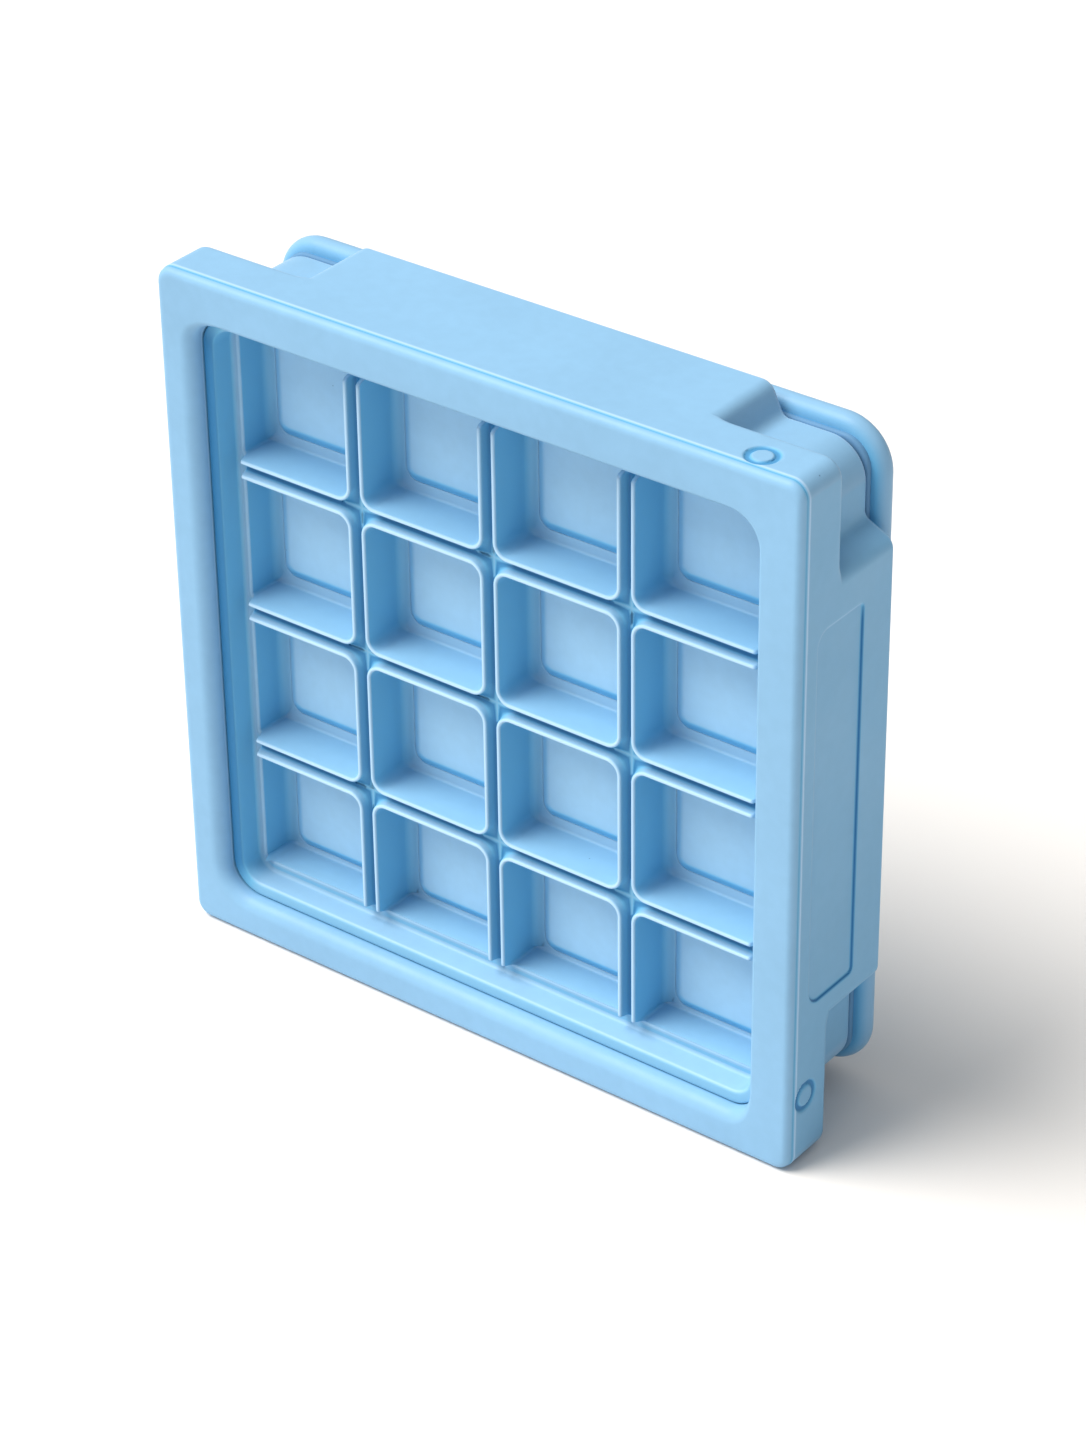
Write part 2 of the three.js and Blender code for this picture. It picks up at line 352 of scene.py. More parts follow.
def noise(tree, scale, detail, rough=0.5):
    """Noise on object coordinates; returns its factor."""
    where = tree.nodes.new("ShaderNodeTexCoord")
    node = tree.nodes.new("ShaderNodeTexNoise")
    node.inputs["Scale"].default_value = scale
    node.inputs["Detail"].default_value = detail
    node.inputs["Roughness"].default_value = rough
    tree.links.new(where.outputs["Object"], node.inputs["Vector"])
    return node.outputs["Fac"]


def spread(tree, value, low, high, to_low=0.0, to_high=1.0):
    """A clamped map range; returns its result."""
    node = tree.nodes.new("ShaderNodeMapRange")
    node.inputs["From Min"].default_value = low
    node.inputs["From Max"].default_value = high
    node.inputs["To Min"].default_value = to_low
    node.inputs["To Max"].default_value = to_high
    tree.links.new(value, node.inputs["Value"])
    return node.outputs["Result"]


def attribute(tree, name):
    """The value of a mesh attribute."""
    node = tree.nodes.new("ShaderNodeAttribute")
    node.attribute_name = name
    return node.outputs["Fac"]


def use_group(tree, group, **values):
    """A node that uses a group, with inputs set by name."""
    node = tree.nodes.new("ShaderNodeGroup")
    node.node_tree = group
    for name, value in values.items():
        node.inputs[name].default_value = value
    return node


def speck_group():
    """Rare dark specks moulded into the plastic: a few small cells of a Voronoi pattern."""
    group, source, target = new_group(
        "Moulding specks",
        [("NodeSocketFloat", "Cells per metre", 230.0), ("NodeSocketFloat", "Share", 0.05)],
        [("NodeSocketFloat", "Mask")],
    )
    where = group.nodes.new("ShaderNodeTexCoord")
    cells = group.nodes.new("ShaderNodeTexVoronoi")
    group.links.new(where.outputs["Object"], cells.inputs["Vector"])
    group.links.new(source.outputs["Cells per metre"], cells.inputs["Scale"])
    split = group.nodes.new("ShaderNodeSeparateColor")
    group.links.new(cells.outputs["Color"], split.inputs["Color"])
    chosen = maths(group, "LESS_THAN", split.outputs["Red"], source.outputs["Share"])
    size = maths(group, "MULTIPLY_ADD", split.outputs["Green"], 0.03, 0.02)
    near = maths(group, "SUBTRACT", size, cells.outputs["Distance"])
    dot = spread(group, near, 0.0, 0.02)
    group.links.new(maths(group, "MULTIPLY", chosen, dot), target.inputs["Mask"])
    return group


def tint_group(specks):
    """Colour of the moulded plastic: faint clouding, painted highlights on raised edges and dark specks. The
    painted shade attribute turns it richer up to 0.4, as on shaded walls, and then darker, as in shaded
    joints."""
    group, source, target = new_group(
        "Moulded plastic colour",
        [
            # The pale colour is a painted highlight; the rich and deep colours are painted shade
            ("NodeSocketColor", "Plastic", (0.3, 0.55, 0.85, 1)),
            ("NodeSocketColor", "Pale", (0.6, 0.8, 1.0, 1)),
            ("NodeSocketColor", "Rich", (0.15, 0.5, 0.85, 1)),
            ("NodeSocketColor", "Deep", (0.1, 0.3, 0.55, 1)),
            ("NodeSocketFloat", "Clouding", 0.06),
            ("NodeSocketFloat", "Edge", 0.5),
            ("NodeSocketFloat", "Groove", 0.5),
        ],
        [("NodeSocketColor", "Color")],
    )
    broad = spread(group, noise(group, 34.0, 3.0), 0.35, 0.65, -0.5, 0.5)
    fine = spread(group, noise(group, 420.0, 2.0), 0.3, 0.7, -0.3, 0.3)
    both = maths(group, "MULTIPLY", maths(group, "ADD", broad, fine), source.outputs["Clouding"])
    gain = maths(group, "ADD", both, 1.0)
    shade = group.nodes.new("ShaderNodeVectorMath")
    shade.operation = "SCALE"
    group.links.new(source.outputs["Plastic"], shade.inputs[0])
    group.links.new(gain, shade.inputs["Scale"])
    # Painted highlight from one mask and painted shade from the other
    edge, groove = attribute(group, "raised_edge"), attribute(group, "groove")
    pale = maths(group, "MULTIPLY", edge, source.outputs["Edge"], clamp=True)
    deep = maths(group, "MULTIPLY", groove, source.outputs["Groove"], clamp=True)
    colour = blend(group, pale, shade.outputs[0], source.outputs["Pale"])
    colour = blend(group, spread(group, deep, 0.0, 0.4), colour, source.outputs["Rich"])
    colour = blend(group, spread(group, deep, 0.4, 1.0), colour, source.outputs["Deep"])
    dots = use_group(group, specks)
    strength = maths(group, "MULTIPLY", dots.outputs["Mask"], 0.75)
    colour = blend(group, strength, colour, (0.035, 0.09, 0.2, 1))
    group.links.new(colour, target.inputs["Color"])
    return group


def surface_group(specks):
    """Roughness and height of the moulded skin: fine grain, slow waviness, handled patches and pits."""
    group, source, target = new_group(
        "Moulded skin",
        [
            ("NodeSocketFloat", "Roughness", 0.4),
            ("NodeSocketFloat", "Patchiness", 0.08),
            ("NodeSocketFloat", "Grain", 1.0),
        ],
        [("NodeSocketFloat", "Roughness"), ("NodeSocketFloat", "Height")],
    )
    patches = spread(group, noise(group, 60.0, 4.0, 0.6), 0.3, 0.7, -1.0, 1.0)
    change = maths(group, "MULTIPLY", patches, source.outputs["Patchiness"])
    rough = maths(group, "ADD", source.outputs["Roughness"], change, clamp=True)
    grain = maths(group, "MULTIPLY", noise(group, 2600.0, 2.0), source.outputs["Grain"])
    wave = maths(group, "MULTIPLY", noise(group, 90.0, 1.0), 3.0)
    dots = use_group(group, specks)
    pits = maths(group, "MULTIPLY", dots.outputs["Mask"], -6.0)
    height = maths(group, "ADD", maths(group, "ADD", grain, wave), pits)
    group.links.new(rough, target.inputs["Roughness"])
    group.links.new(height, target.inputs["Height"])
    return group


def plastic(name, colour, groups, rough, edge, groove):
    """A Principled material fed by the shared colour and skin groups."""
    tint, skin = groups
    material = bpy.data.materials.new(name)
    material.use_nodes = True
    tree = material.node_tree
    shader = tree.nodes["Principled BSDF"]
    r, g, b = colour
    # The last two arguments scale the painted highlight and the painted shade; the pale colour is the
    # painted highlight, the rich and deep ones the painted shade
    colours = use_group(
        tree,
        tint,
        Plastic=(r, g, b, 1),
        Pale=(r * 0.5 + 0.37, g * 0.5 + 0.48, b * 0.3 + 0.74, 1),
        Rich=(r * 0.56, g * 0.92, b * 1.01, 1),
        Deep=(r * 0.05, g * 0.32, b * 0.56, 1),
        Edge=edge,
        Groove=groove,
    )
    surface = use_group(tree, skin, Roughness=rough)
    bump = tree.nodes.new("ShaderNodeBump")
    bump.inputs["Strength"].default_value = 0.12
    bump.inputs["Distance"].default_value = 0.00005
    tree.links.new(colours.outputs["Color"], shader.inputs["Base Color"])
    tree.links.new(surface.outputs["Roughness"], shader.inputs["Roughness"])
    tree.links.new(surface.outputs["Height"], bump.inputs["Height"])
    tree.links.new(bump.outputs["Normal"], shader.inputs["Normal"])
    shader.inputs["Specular IOR Level"].default_value = 0.2
    return material


def shared_groups():
    """The colour and skin groups, made once."""
    found = [bpy.data.node_groups.get(n) for n in ("Moulded plastic colour", "Moulded skin")]
    if all(found):
        return found
    specks = speck_group()
    return [tint_group(specks), surface_group(specks)]


# ---- settings ----


def number_setting(name, description, default, low, high):
    """A number with its limits."""
    return bpy.props.FloatProperty(
        name=name, description=description, default=default, min=low, max=high
    )


def colour_setting(name, description, default):
    """A colour of three channels."""
    return bpy.props.FloatVectorProperty(
        name=name, description=description, subtype="COLOR", size=3, min=0.0, max=1.0, default=default
    )


def angle_setting(name, description, degrees):
    """An angle, given in degrees."""
    return bpy.props.FloatProperty(
        name=name, description=description, default=math.radians(degrees), subtype="ANGLE"
    )


class CryoShellSettings(bpy.types.PropertyGroup):
    edge_radius: number_setting(
        "Edge radius", "Rounding of the frame's outer edges, in millimetres", 1.4, 0.2, 3.0
    )
    lip_radius: number_setting(
        "Lip radius", "Rounding of the lip round the window, in millimetres", 2.1, 0.5, 3.0
    )
    notch_length: number_setting(
        "Notch length", "Length of each corner notch along a side, in millimetres", 25.0, 10.0, 40.0
    )
    notch_depth: number_setting(
        "Notch depth", "How far the notched corners step in, in millimetres", 5.3, 2.0, 6.0
    )
    side_raised: number_setting(
        "Side offset",
        "How far the upright sides' raised parts sit above the middle, in millimetres",
        3.0, 0.0, 5.0,
    )
    panel_depth: number_setting(
        "Panel depth", "Depth of the shallow panel in each upright side, in millimetres", 0.35, 0.0, 1.0
    )


class CryoTraySettings(bpy.types.PropertyGroup):
    pitch: number_setting(
        "Cell pitch", "Distance between the centres of two cells, in millimetres", 28.5, 24.0, 29.0
    )
    cell_half: number_setting(
        "Cell half width", "Half the clear width of one cell, in millimetres", 12.4, 9.0, 13.0
    )
    rib_front: number_setting(
        "Rim depth", "How far the cell rims lie behind the front face, in millimetres", 5.4, 4.0, 8.0
    )


class CryoLookSettings(bpy.types.PropertyGroup):
    plastic: colour_setting("Plastic", "Colour of the moulded plastic", (0.235, 0.455, 0.68))
    seal: colour_setting("Seal", "Colour of the silicone seal", (0.12, 0.28, 0.48))
    foam: colour_setting("Foam", "Colour of the insulation slab", (0.74, 0.8, 0.86))
    roughness: number_setting("Roughness", "Mean roughness of the moulded plastic", 0.42, 0.1, 1.0)


class CryoStageSettings(bpy.types.PropertyGroup):
    key_power: number_setting(
        "Key light", "Irradiance of the soft key light, in watts per square metre", 3.85, 0.0, 20.0
    )
    ambient: number_setting(
        "Ambient",
        "Mean strength of the white surroundings, which are brighter to the upper left front",
        0.4, 0.0, 3.0,
    )
    azimuth: angle_setting(
        "Azimuth", "How far the camera stands to the right of the window's normal", 37.71
    )
    elevation: angle_setting("Elevation", "How far the camera looks down", 31.9961)
    roll: angle_setting("Roll", "Tilt of the camera about its own axis", -0.7803)
    place: bpy.props.FloatVectorProperty(
        name="Camera place",
        description="Camera position",
        subtype="TRANSLATION",
        unit="LENGTH",
        size=3,
        default=(0.38344, -0.49193, 0.44741),
    )
    lens: number_setting(
        "Lens", "Focal length on a 36 mm tall sensor, in millimetres", 105.75, 20.0, 300.0
    )


# ---- shell ----


def shell_along():
    """Sample places along one straight side, closer where notches, panel ends and marks need them."""
    runs = [
        np.linspace(-63.3, -59.0, 4),
        np.arange(-58.6, -49.0, 0.25),
        np.linspace(-48.4, -46.6, 4),
        np.arange(-46.2, -30.0, 0.27),
        np.linspace(-29.0, 29.0, 13),
        np.arange(30.2, 46.4, 0.27),
        np.linspace(47.0, 49.0, 3),
        np.linspace(51.0, 63.3, 9),
    ]
    return np.concatenate(runs)


def notch_run(along, notch):
    """0 on the raised middle of a side, 1 in the notch. The drop follows an easy convex arc, a straight ramp
    at 62 degrees and a fillet arc: each arc leaves its tangent by r - sqrt(r squared - s squared)."""
    lean = math.radians(62)
    top, foot, deep = 2.6, 2.0, 5.3
    corner = HALF - notch + 0.7
    top_run = top * math.tan(lean / 2)
    foot_run = foot * math.tan(lean / 2)
    ramp = deep / math.tan(lean)
    s = np.abs(along) - (corner - top_run)
    convex = top - np.sqrt(np.maximum(top**2 - np.clip(s, 0, top * math.sin(lean)) ** 2, 0))
    straight = (np.abs(along) - corner) * math.tan(lean)
    left = corner + ramp + foot_run - np.abs(along)
    concave = foot - np.sqrt(np.maximum(foot**2 - np.clip(left, 0, foot * math.sin(lean)) ** 2, 0))
    drop = np.where(s < top * math.sin(lean), convex, straight)
    drop = np.where(left < foot * math.sin(lean), deep - concave, drop)
    return np.clip(drop / deep, 0, 1)


def notch_back(depth, deep):
    """How far a notched corner has stepped in at a depth: an eased edge behind the frame part, an upright
    step and a fillet of 2 mm."""
    d = np.asarray(depth, float)
    eased = 1.2
    fillet = 2.0
    out = np.zeros_like(d)
    upright = 0.1
    foot_start = FRAME_END + upright
    lead = (d > FRAME_END - eased) & (d <= FRAME_END)
    out[lead] = eased - np.sqrt(np.maximum(eased**2 - (d[lead] - FRAME_END + eased) ** 2, 0))
    wall = (d > FRAME_END) & (d <= foot_start)
    out[wall] = eased + (d[wall] - FRAME_END) / upright * (deep - eased - fillet)
    foot = (d > foot_start) & (d < foot_start + fillet)
    left = foot_start + fillet - d[foot]
    out[foot] = deep - fillet + np.sqrt(np.maximum(fillet**2 - left**2, 0))
    out[d >= foot_start + fillet] = deep
    return out


def panel_distance(height, depth):
    """Signed distance from the rim of the side panel's rounded rectangle, negative inside it."""
    r = np.where(depth > PANEL_MID, 1.1, 3.0)
    qx = np.abs(height - PANEL_UP) - PANEL_TALL + r
    qy = np.abs(depth - PANEL_MID) - PANEL_WIDE + r
    outside = np.hypot(np.maximum(qx, 0), np.maximum(qy, 0))
    return outside + np.minimum(np.maximum(qx, qy), 0) - r


def ring_field(along, depth, centre):
    """1 in the groove of a plain ring mark and 0 off it."""
    radius = np.hypot(along - centre, depth - MARK_MID)
    return 1 - step(np.abs(radius - MARK_RADIUS), 0.35, 0.35)


def outer_depths():
    """Depths of the rows down the outside of the shell, close where it bends."""
    runs = [
        np.array([0.0, 0.03, 0.1, 0.2, 0.35, 0.55, 0.8, 1.05, 1.25, 1.4, 1.5, 1.58, 1.66, 1.75, 1.85, 2.0]),
        np.arange(2.2, 8.9, 0.22),
        np.array([9.2, 9.8, 10.2, 10.5, 10.8, 11.0, 11.2, 11.32, 11.4, 11.45, 11.5]),
        np.array([11.53, 11.6, 11.75, 12.0, 12.3, 12.7, 13.1, 13.5, 14.2]),
        np.arange(14.9, 18.7, 0.22),
        np.array([19.2, 21.0, 23.0]),
        SKIRT_END - np.array([2.0, 1.4, 1.15, 0.95, 0.75, 0.55, 0.38, 0.25, 0.13, 0.05, 0.0]),
    ]
    return np.concatenate(runs)


def shell_sheet(s):
    """The shell's surface. Rows run from the skirt's back edge over the outside, the front face and the lip,
    then down the window wall, the tray's ledge and the cover's bore, and close. On the outside a row's inset
    is the notch run times the notch step, plus the panel and mark fields and the rounding of both edges."""
    along = shell_along()
    corner = 11
    sides = len(along)
    raised = (0, s.side_raised, 0, -s.side_raised)

    def shifted(t, by):
        """How far a place along a side moves with its raised part; the corners stay."""
        return by * (1 - step(np.abs(t), 46, 7))

    def ring(inset, radius, depth_rows):
        """One row of points from an inset for every column."""
        out = []
        for k in range(4):
            first = k * (sides + corner)
            run, bend = slice(first, first + sides), slice(first + sides, first + sides + corner)
            i, r = inset[run], radius[run]
            beyond = (np.abs(along) - STEADY) * (HALF - i - r - STEADY) / (LIMIT - STEADY)
            t = np.where(np.abs(along) <= STEADY, along, np.sign(along) * (STEADY + beyond))
            t = t + shifted(t, raised[k])
            out.append(t[:, None] * TANGENTS[k] + (HALF - i)[:, None] * NORMALS[k])
            i, r = inset[bend], radius[bend]
            centre = (HALF - i - r)[:, None] * (TANGENTS[k] + NORMALS[k])
            out.append(centre + r[:, None] * corner_normals(k, corner))
        return place(np.concatenate(out), depth_rows)

    side = np.repeat(np.arange(4), sides + corner)
    t = np.tile(np.concatenate([along, np.full(corner, LIMIT)]), 4)
    on_corner = np.tile(np.concatenate([np.zeros(sides), np.ones(corner)]), 4)
    notch = np.where(on_corner > 0, 1.0, notch_run(t, s.notch_length))
    moved = t + shifted(t, np.repeat(raised, sides + corner))
    height = np.where(side == LEFT, -moved, moved)
    upright = (side % 2 == 1) & (on_corner == 0)
    rows, edge, groove = [], [], []

    def add(inset, radius, depth, e=0.0, g=0.0):
        measures = (np.broadcast_to(np.asarray(v, float), t.shape) for v in (inset, radius, depth))
        rows.append(ring(*measures))
        edge.append(np.broadcast_to(e, t.shape))
        groove.append(np.broadcast_to(g, t.shape))

    back_round = 0.5 + 0.7 * notch
    for d in outer_depths()[::-1]:
        recess = notch * notch_back(np.array([d]), s.notch_depth)[0]
        away = panel_distance(height, d)
        panel = np.where(upright, 1 - step(away, -0.2, 0.4), 0)
        marks = np.where((side == UPPER) & (on_corner == 0), ring_field(t, d, MARK_UPPER), 0)
        on_right = (side == RIGHT) & (on_corner == 0)
        marks = marks + np.where(on_right, ring_field(moved, d, MARK_RIGHT), 0)
        ease = round_in(d, s.edge_radius) + 0.12 * (1 - step(d, 1.5, 0.3))
        ease = ease + round_in(SKIRT_END - d, back_round)
        inset = recess + panel * s.panel_depth + marks * MARK_DEEP + ease
        stepped = np.clip(recess / s.notch_depth, 0, 1)
        radius = FRAME_RADIUS + (SKIRT_RADIUS - FRAME_RADIUS) * stepped
        radius = radius - np.minimum(ease, 1.0)
        # Painted highlights along the front edge, the skirt's back edge and the notch's step
        front_edge = ridge(d, 1.95, 0.24) * 0.95
        back_edge = ridge(d, SKIRT_END - 0.6 * back_round, 0.25) * (0.35 + 0.3 * notch)
        step_edge = notch * ridge(d, 11.12, 0.2) * 0.6
        rim = np.where(upright, ridge(away, 0, 0.26), 0)
        # Painted highlight on the panel's rim above a steep diagonal and painted shade below it
        lit = step(height - PANEL_UP - (d - PANEL_MID) * 5.6, -4.0, 8.0)
        # Painted shade in a thin line near the front, where the parting line's step runs
        line = ridge(d, 1.42, 0.22) * 0.6
        # Painted shade in the ring marks and on the upright sides
        add(
            inset,
            radius,
            d,
            front_edge + back_edge + step_edge + rim * lit * 0.5,
            marks * 0.8 + line + rim * (1 - lit) * 1.1 + upright * 0.14 * float(step(d, 2.0, 0.5)),
        )
    for inset in (1.8, 2.6, 3.6, 4.6):
        add(inset, FRAME_RADIUS + (WINDOW_RADIUS - FRAME_RADIUS) * inset / 8, 0)
    facing = outward(along, corner)
    lip = s.lip_radius * by_side(LIP_SHARE, facing)
    window = by_side(WINDOW_INSET, facing)
    for a in quarter(10):
        turned = lip * math.sin(a)
        add(window - lip + turned, WINDOW_RADIUS + lip - turned, lip - lip * math.cos(a))
    # A painted highlight at the end of the left lip, then painted shade down the window wall to the ledge
    add(window, WINDOW_RADIUS, 2.75, by_side((0, 0, 0, 0.5), facing))
    add(window, WINDOW_RADIUS, 3.05, 0, 0.3)
    add(window, WINDOW_RADIUS, LEDGE_FRONT, 0, 0.8)
    add(LEDGE_INSET, 4.0, LEDGE_FRONT)
    add(LEDGE_INSET, 4.0, LEDGE_BACK)
    add(BORE_INSET, 5.0, LEDGE_BACK)
    add(BORE_INSET, 5.0, SKIRT_END - 0.3)
    rim = notch * s.notch_depth + back_round
    add(np.maximum(7.4, rim + 0.3), 5.0, SKIRT_END)
    slot = step(SLOT_HALF - np.abs(t), -0.3, 0.6) * (1 - on_corner) * SLOT_DEEP
    add(np.maximum(5.5, rim + 0.2), 5.0 + notch, SKIRT_END)
    add(np.maximum(5.4, rim + 0.18), 5.0 + notch, SKIRT_END - slot)
    add(np.maximum(2.2, rim + 0.12), 4.4 + notch, SKIRT_END - slot)
    add(np.maximum(2.1, rim + 0.1), 4.4 + notch, SKIRT_END)
    add(np.maximum(1.5, rim + 0.05), 4.0 + notch, SKIRT_END)
    return np.array(rows), np.array(edge), np.array(groove), True


class MESH_OT_cryo_shell(bpy.types.Operator):
    """Build the shell: window frame, rounded lip, skirt, notched corners, side panels and ring marks"""

    bl_idname = "mesh.cryo_shell"
    bl_label = "Build shell"

    def execute(self, context):
        obj = grid_object("moulded_shell", [shell_sheet(context.scene.cryo_shell)])
        look = context.scene.cryo_look
        material = plastic("Outer plastic", look.plastic, shared_groups(), look.roughness, 0.8, 0.9)
        finish_piece(obj, "shell", ["shell"], material, 50)
        return {"FINISHED"}


# ---- cell tray ----


def cell_columns():
    """Fractions along one side of a cell, close together at both ends."""
    ends = np.array([0.0, 0.008, 0.018, 0.03, 0.045, 0.065, 0.1, 0.18, 0.32])
    return np.concatenate([ends, [0.5], 1 - ends[::-1]]) * 2 - 1


def cell_sheet(row, col, s):
    """The closed surface of one cell of the tray.

    Rows of the grid are loops round the cell, from the middle of its floor out over the pad's seat, the
    ledge, the fillet, the wall, the round-topped rim and the groove to the cell's boundary, then back over
    the web and the cup's outside to the middle of its underside. The rim's crest and the groove's floor
    sink to the level of the web where the cell meets the tray's edge."""
    pitch = s.pitch
    cx = (col - 2.5) * pitch
    cz = (2.5 - row) * pitch
    sides = cell_columns()
    corner = 9
    inner = 2.2
    small = 0.7
    left, right, top, bottom = col == 1, col == CELLS, row == 1, row == CELLS
    touches = ((bottom, right), (top, right), (top, left), (bottom, left))
    radii = []
    square = []
    for a, b in touches:
        radii.append(small if a != b else inner)
        square.append(0.0 if a and b else 1.0)

    def loop(half, override=None, push=0.0):
        """The cell's outline at a half width. The lowest row's lower walls stand up to 1.25 mm higher."""
        if override is None:
            r = tuple(max(0.35, q + half - s.cell_half) for q in radii)
        else:
            r = (override,) * 4
        points = around(half, r, sides, corner, tuple(push * q for q in square))
        if bottom:
            low = -points[:, 1]
            points[:, 1] += 1.25 * step(low, 10.3, 1.7) * (1 - step(low, 13.2, 1.0))
        return points + np.array([cx, cz])

    def levels(points):
        """Depths of the rim's crest and the groove's floor, and how high the one stands on the other."""
        ends = np.maximum(step(np.abs(points[:, 0]), 54.0, 1.0), step(np.abs(points[:, 1]), 53.2, 0.9))
        crest = s.rib_front + (WEB_FRONT - s.rib_front) * ends
        base = GROOVE_FLOOR + (WEB_FRONT + 0.02 - GROOVE_FLOOR) * ends
        base = np.maximum(base, crest + 0.02)
        return crest, base, (base - crest) / RIM_RISE

    normal = outward(sides, corner)
    points, depth, edge, groove = [], [], [], []

    def add(ring, d, e=0.0, g=0.0):
        points.append(ring)
        depth.append(np.broadcast_to(d, len(ring)))
        edge.append(by_side(e, normal))
        groove.append(by_side(g, normal))

    # Painted shade on the cell's walls by side, strongest on the left
    shade = by_side((0.1, 0.2, 0.2, 0.42), normal)
    half = s.cell_half
    add(loop(0.3, 0.1), PAD_BACK + 0.3)
    add(loop(9.4, 2.2), PAD_BACK + 0.3)
    add(loop(PAD_HALF + 0.1, 2.6), PAD_BACK + 0.28)
    add(loop(PAD_HALF + 0.14, 2.65), CELL_FLOOR + 0.2)
    # Painted shade and a painted highlight on the ledge round the pad
    add(loop(PAD_HALF + 0.22, 2.7), CELL_FLOOR + 0.04, 0, (0, 0, 0, 0.1))
    add(loop(PAD_HALF + 0.4, 2.7), CELL_FLOOR, (0.3, 0.1, 0.1, 0.15), shade * 0.5)
    fillet = by_side((0.5, 0.6, 0.6, 1.5), normal)
    on_left = np.clip(-normal[:, 0], 0, 1) ** 2
    for a in quarter(8):
        narrow = loop(half - 0.7 + 0.5 * math.sin(a))
        wide = loop(half - 1.7 + 1.5 * math.sin(a))
        ring = narrow + (wide - narrow) * on_left[:, None]
        # Painted highlight fading up the fillet, with painted shade growing along it
        lit = by_side((0.3, 0.1, 0.1, 0), normal) * math.cos(a)
        turn = CELL_FLOOR - fillet + fillet * math.cos(a)
        add(ring, turn, lit, shade * (0.5 + 0.5 * math.sin(a)))
    foot = CELL_FLOOR - fillet
    for f in (0.15, 0.35, 0.6, 0.85, 1.0):
        ring = loop(half - 0.2 * (1 - f))
        crest = levels(ring)[0]
        add(ring, foot + (crest + RIM_NOSE - foot) * f, 0, shade)
    # Painted highlight on the rim's crest, full where the rim stands high
    for b in quarter(6)[1:]:
        ring = loop(half + RIM_NOSE * (1 - math.cos(b)))
        crest, base, rise = levels(ring)
        add(ring, crest + RIM_NOSE * (1 - math.sin(b)), math.sin(b) ** 3 * np.clip(rise, 0.3, 1))
    # Painted shade just beyond the crest, over the rim's outer side
    for b in np.linspace(math.pi / 2, math.pi, 5)[1:]:
        ring = loop(half + RIM_NOSE * (1 - math.cos(b)))
        crest, base, rise = levels(ring)
        high = np.clip(rise, 0, 1)
        dark = by_side((0.9, 0.3, 0, 0.9), normal) * (1 - math.sin(b))
        add(ring, crest + (base - crest) * 0.24 * (1 - math.sin(b)), high * math.sin(b) ** 2, high * dark)
    # Distance beyond the cell's half width, share of the way down to the groove's floor, and tone of painted
    # shade
    tones = (
        (0.9, 0.36, (0.9, 0.35, 0, 0.9)),
        (0.97, 0.54, (0.9, 0.4, 0.05, 0.9)),
        (1.08, 0.72, (0.9, 0.5, 0.35, 0.9)),
        (1.24, 0.87, (0.9, 0.75, 0.85, 0.9)),
        (1.48, 0.97, (0.9, 0.95, 0.95, 0.9)),
    )
    for out, f, tone in tones:
        ring = loop(half + out, None, step(out, 0.9, 0.9))
        crest, base, rise = levels(ring)
        high = np.clip(rise, 0, 1)
        # Where the rim sinks to the web: a painted highlight on the left and painted shade on the lower side
        pale = by_side((0, 0, 0, 0.5), normal) * (1 - high)
        rich = by_side((0.25, 0.1, 0.1, 0), normal) * (1 - high)
        add(ring, crest + (base - crest) * f, pale, by_side(tone, normal) * high + rich)
    ring = loop(pitch / 2, None, 1.0)
    # Painted shade in the groove's floor, faint at the crossings, and a painted highlight on the left where
    # it rises to the web
    crossing = np.abs(normal[:, 0] * normal[:, 1]) > 0.05
    tone = np.where(crossing, 0.15, 0.9)
    base = levels(ring)[1]
    low = base < (GROOVE_FLOOR + WEB_FRONT) / 2
    add(ring, base, by_side((0, 0, 0, 0.4), normal) * ~low, tone * low)
    add(ring, WEB_BACK)
    add(loop(half + 1.05), WEB_BACK)
    add(loop(half + 1.0), WEB_BACK + 0.2)
    add(loop(half + 1.0), TRAY_BACK - 0.4)
    add(loop(half + 0.6), TRAY_BACK)
    add(loop(0.3, 0.1), TRAY_BACK)
    grid = place(np.array(points), np.array(depth))
    return grid, np.array(edge, float), np.array(groove, float), False


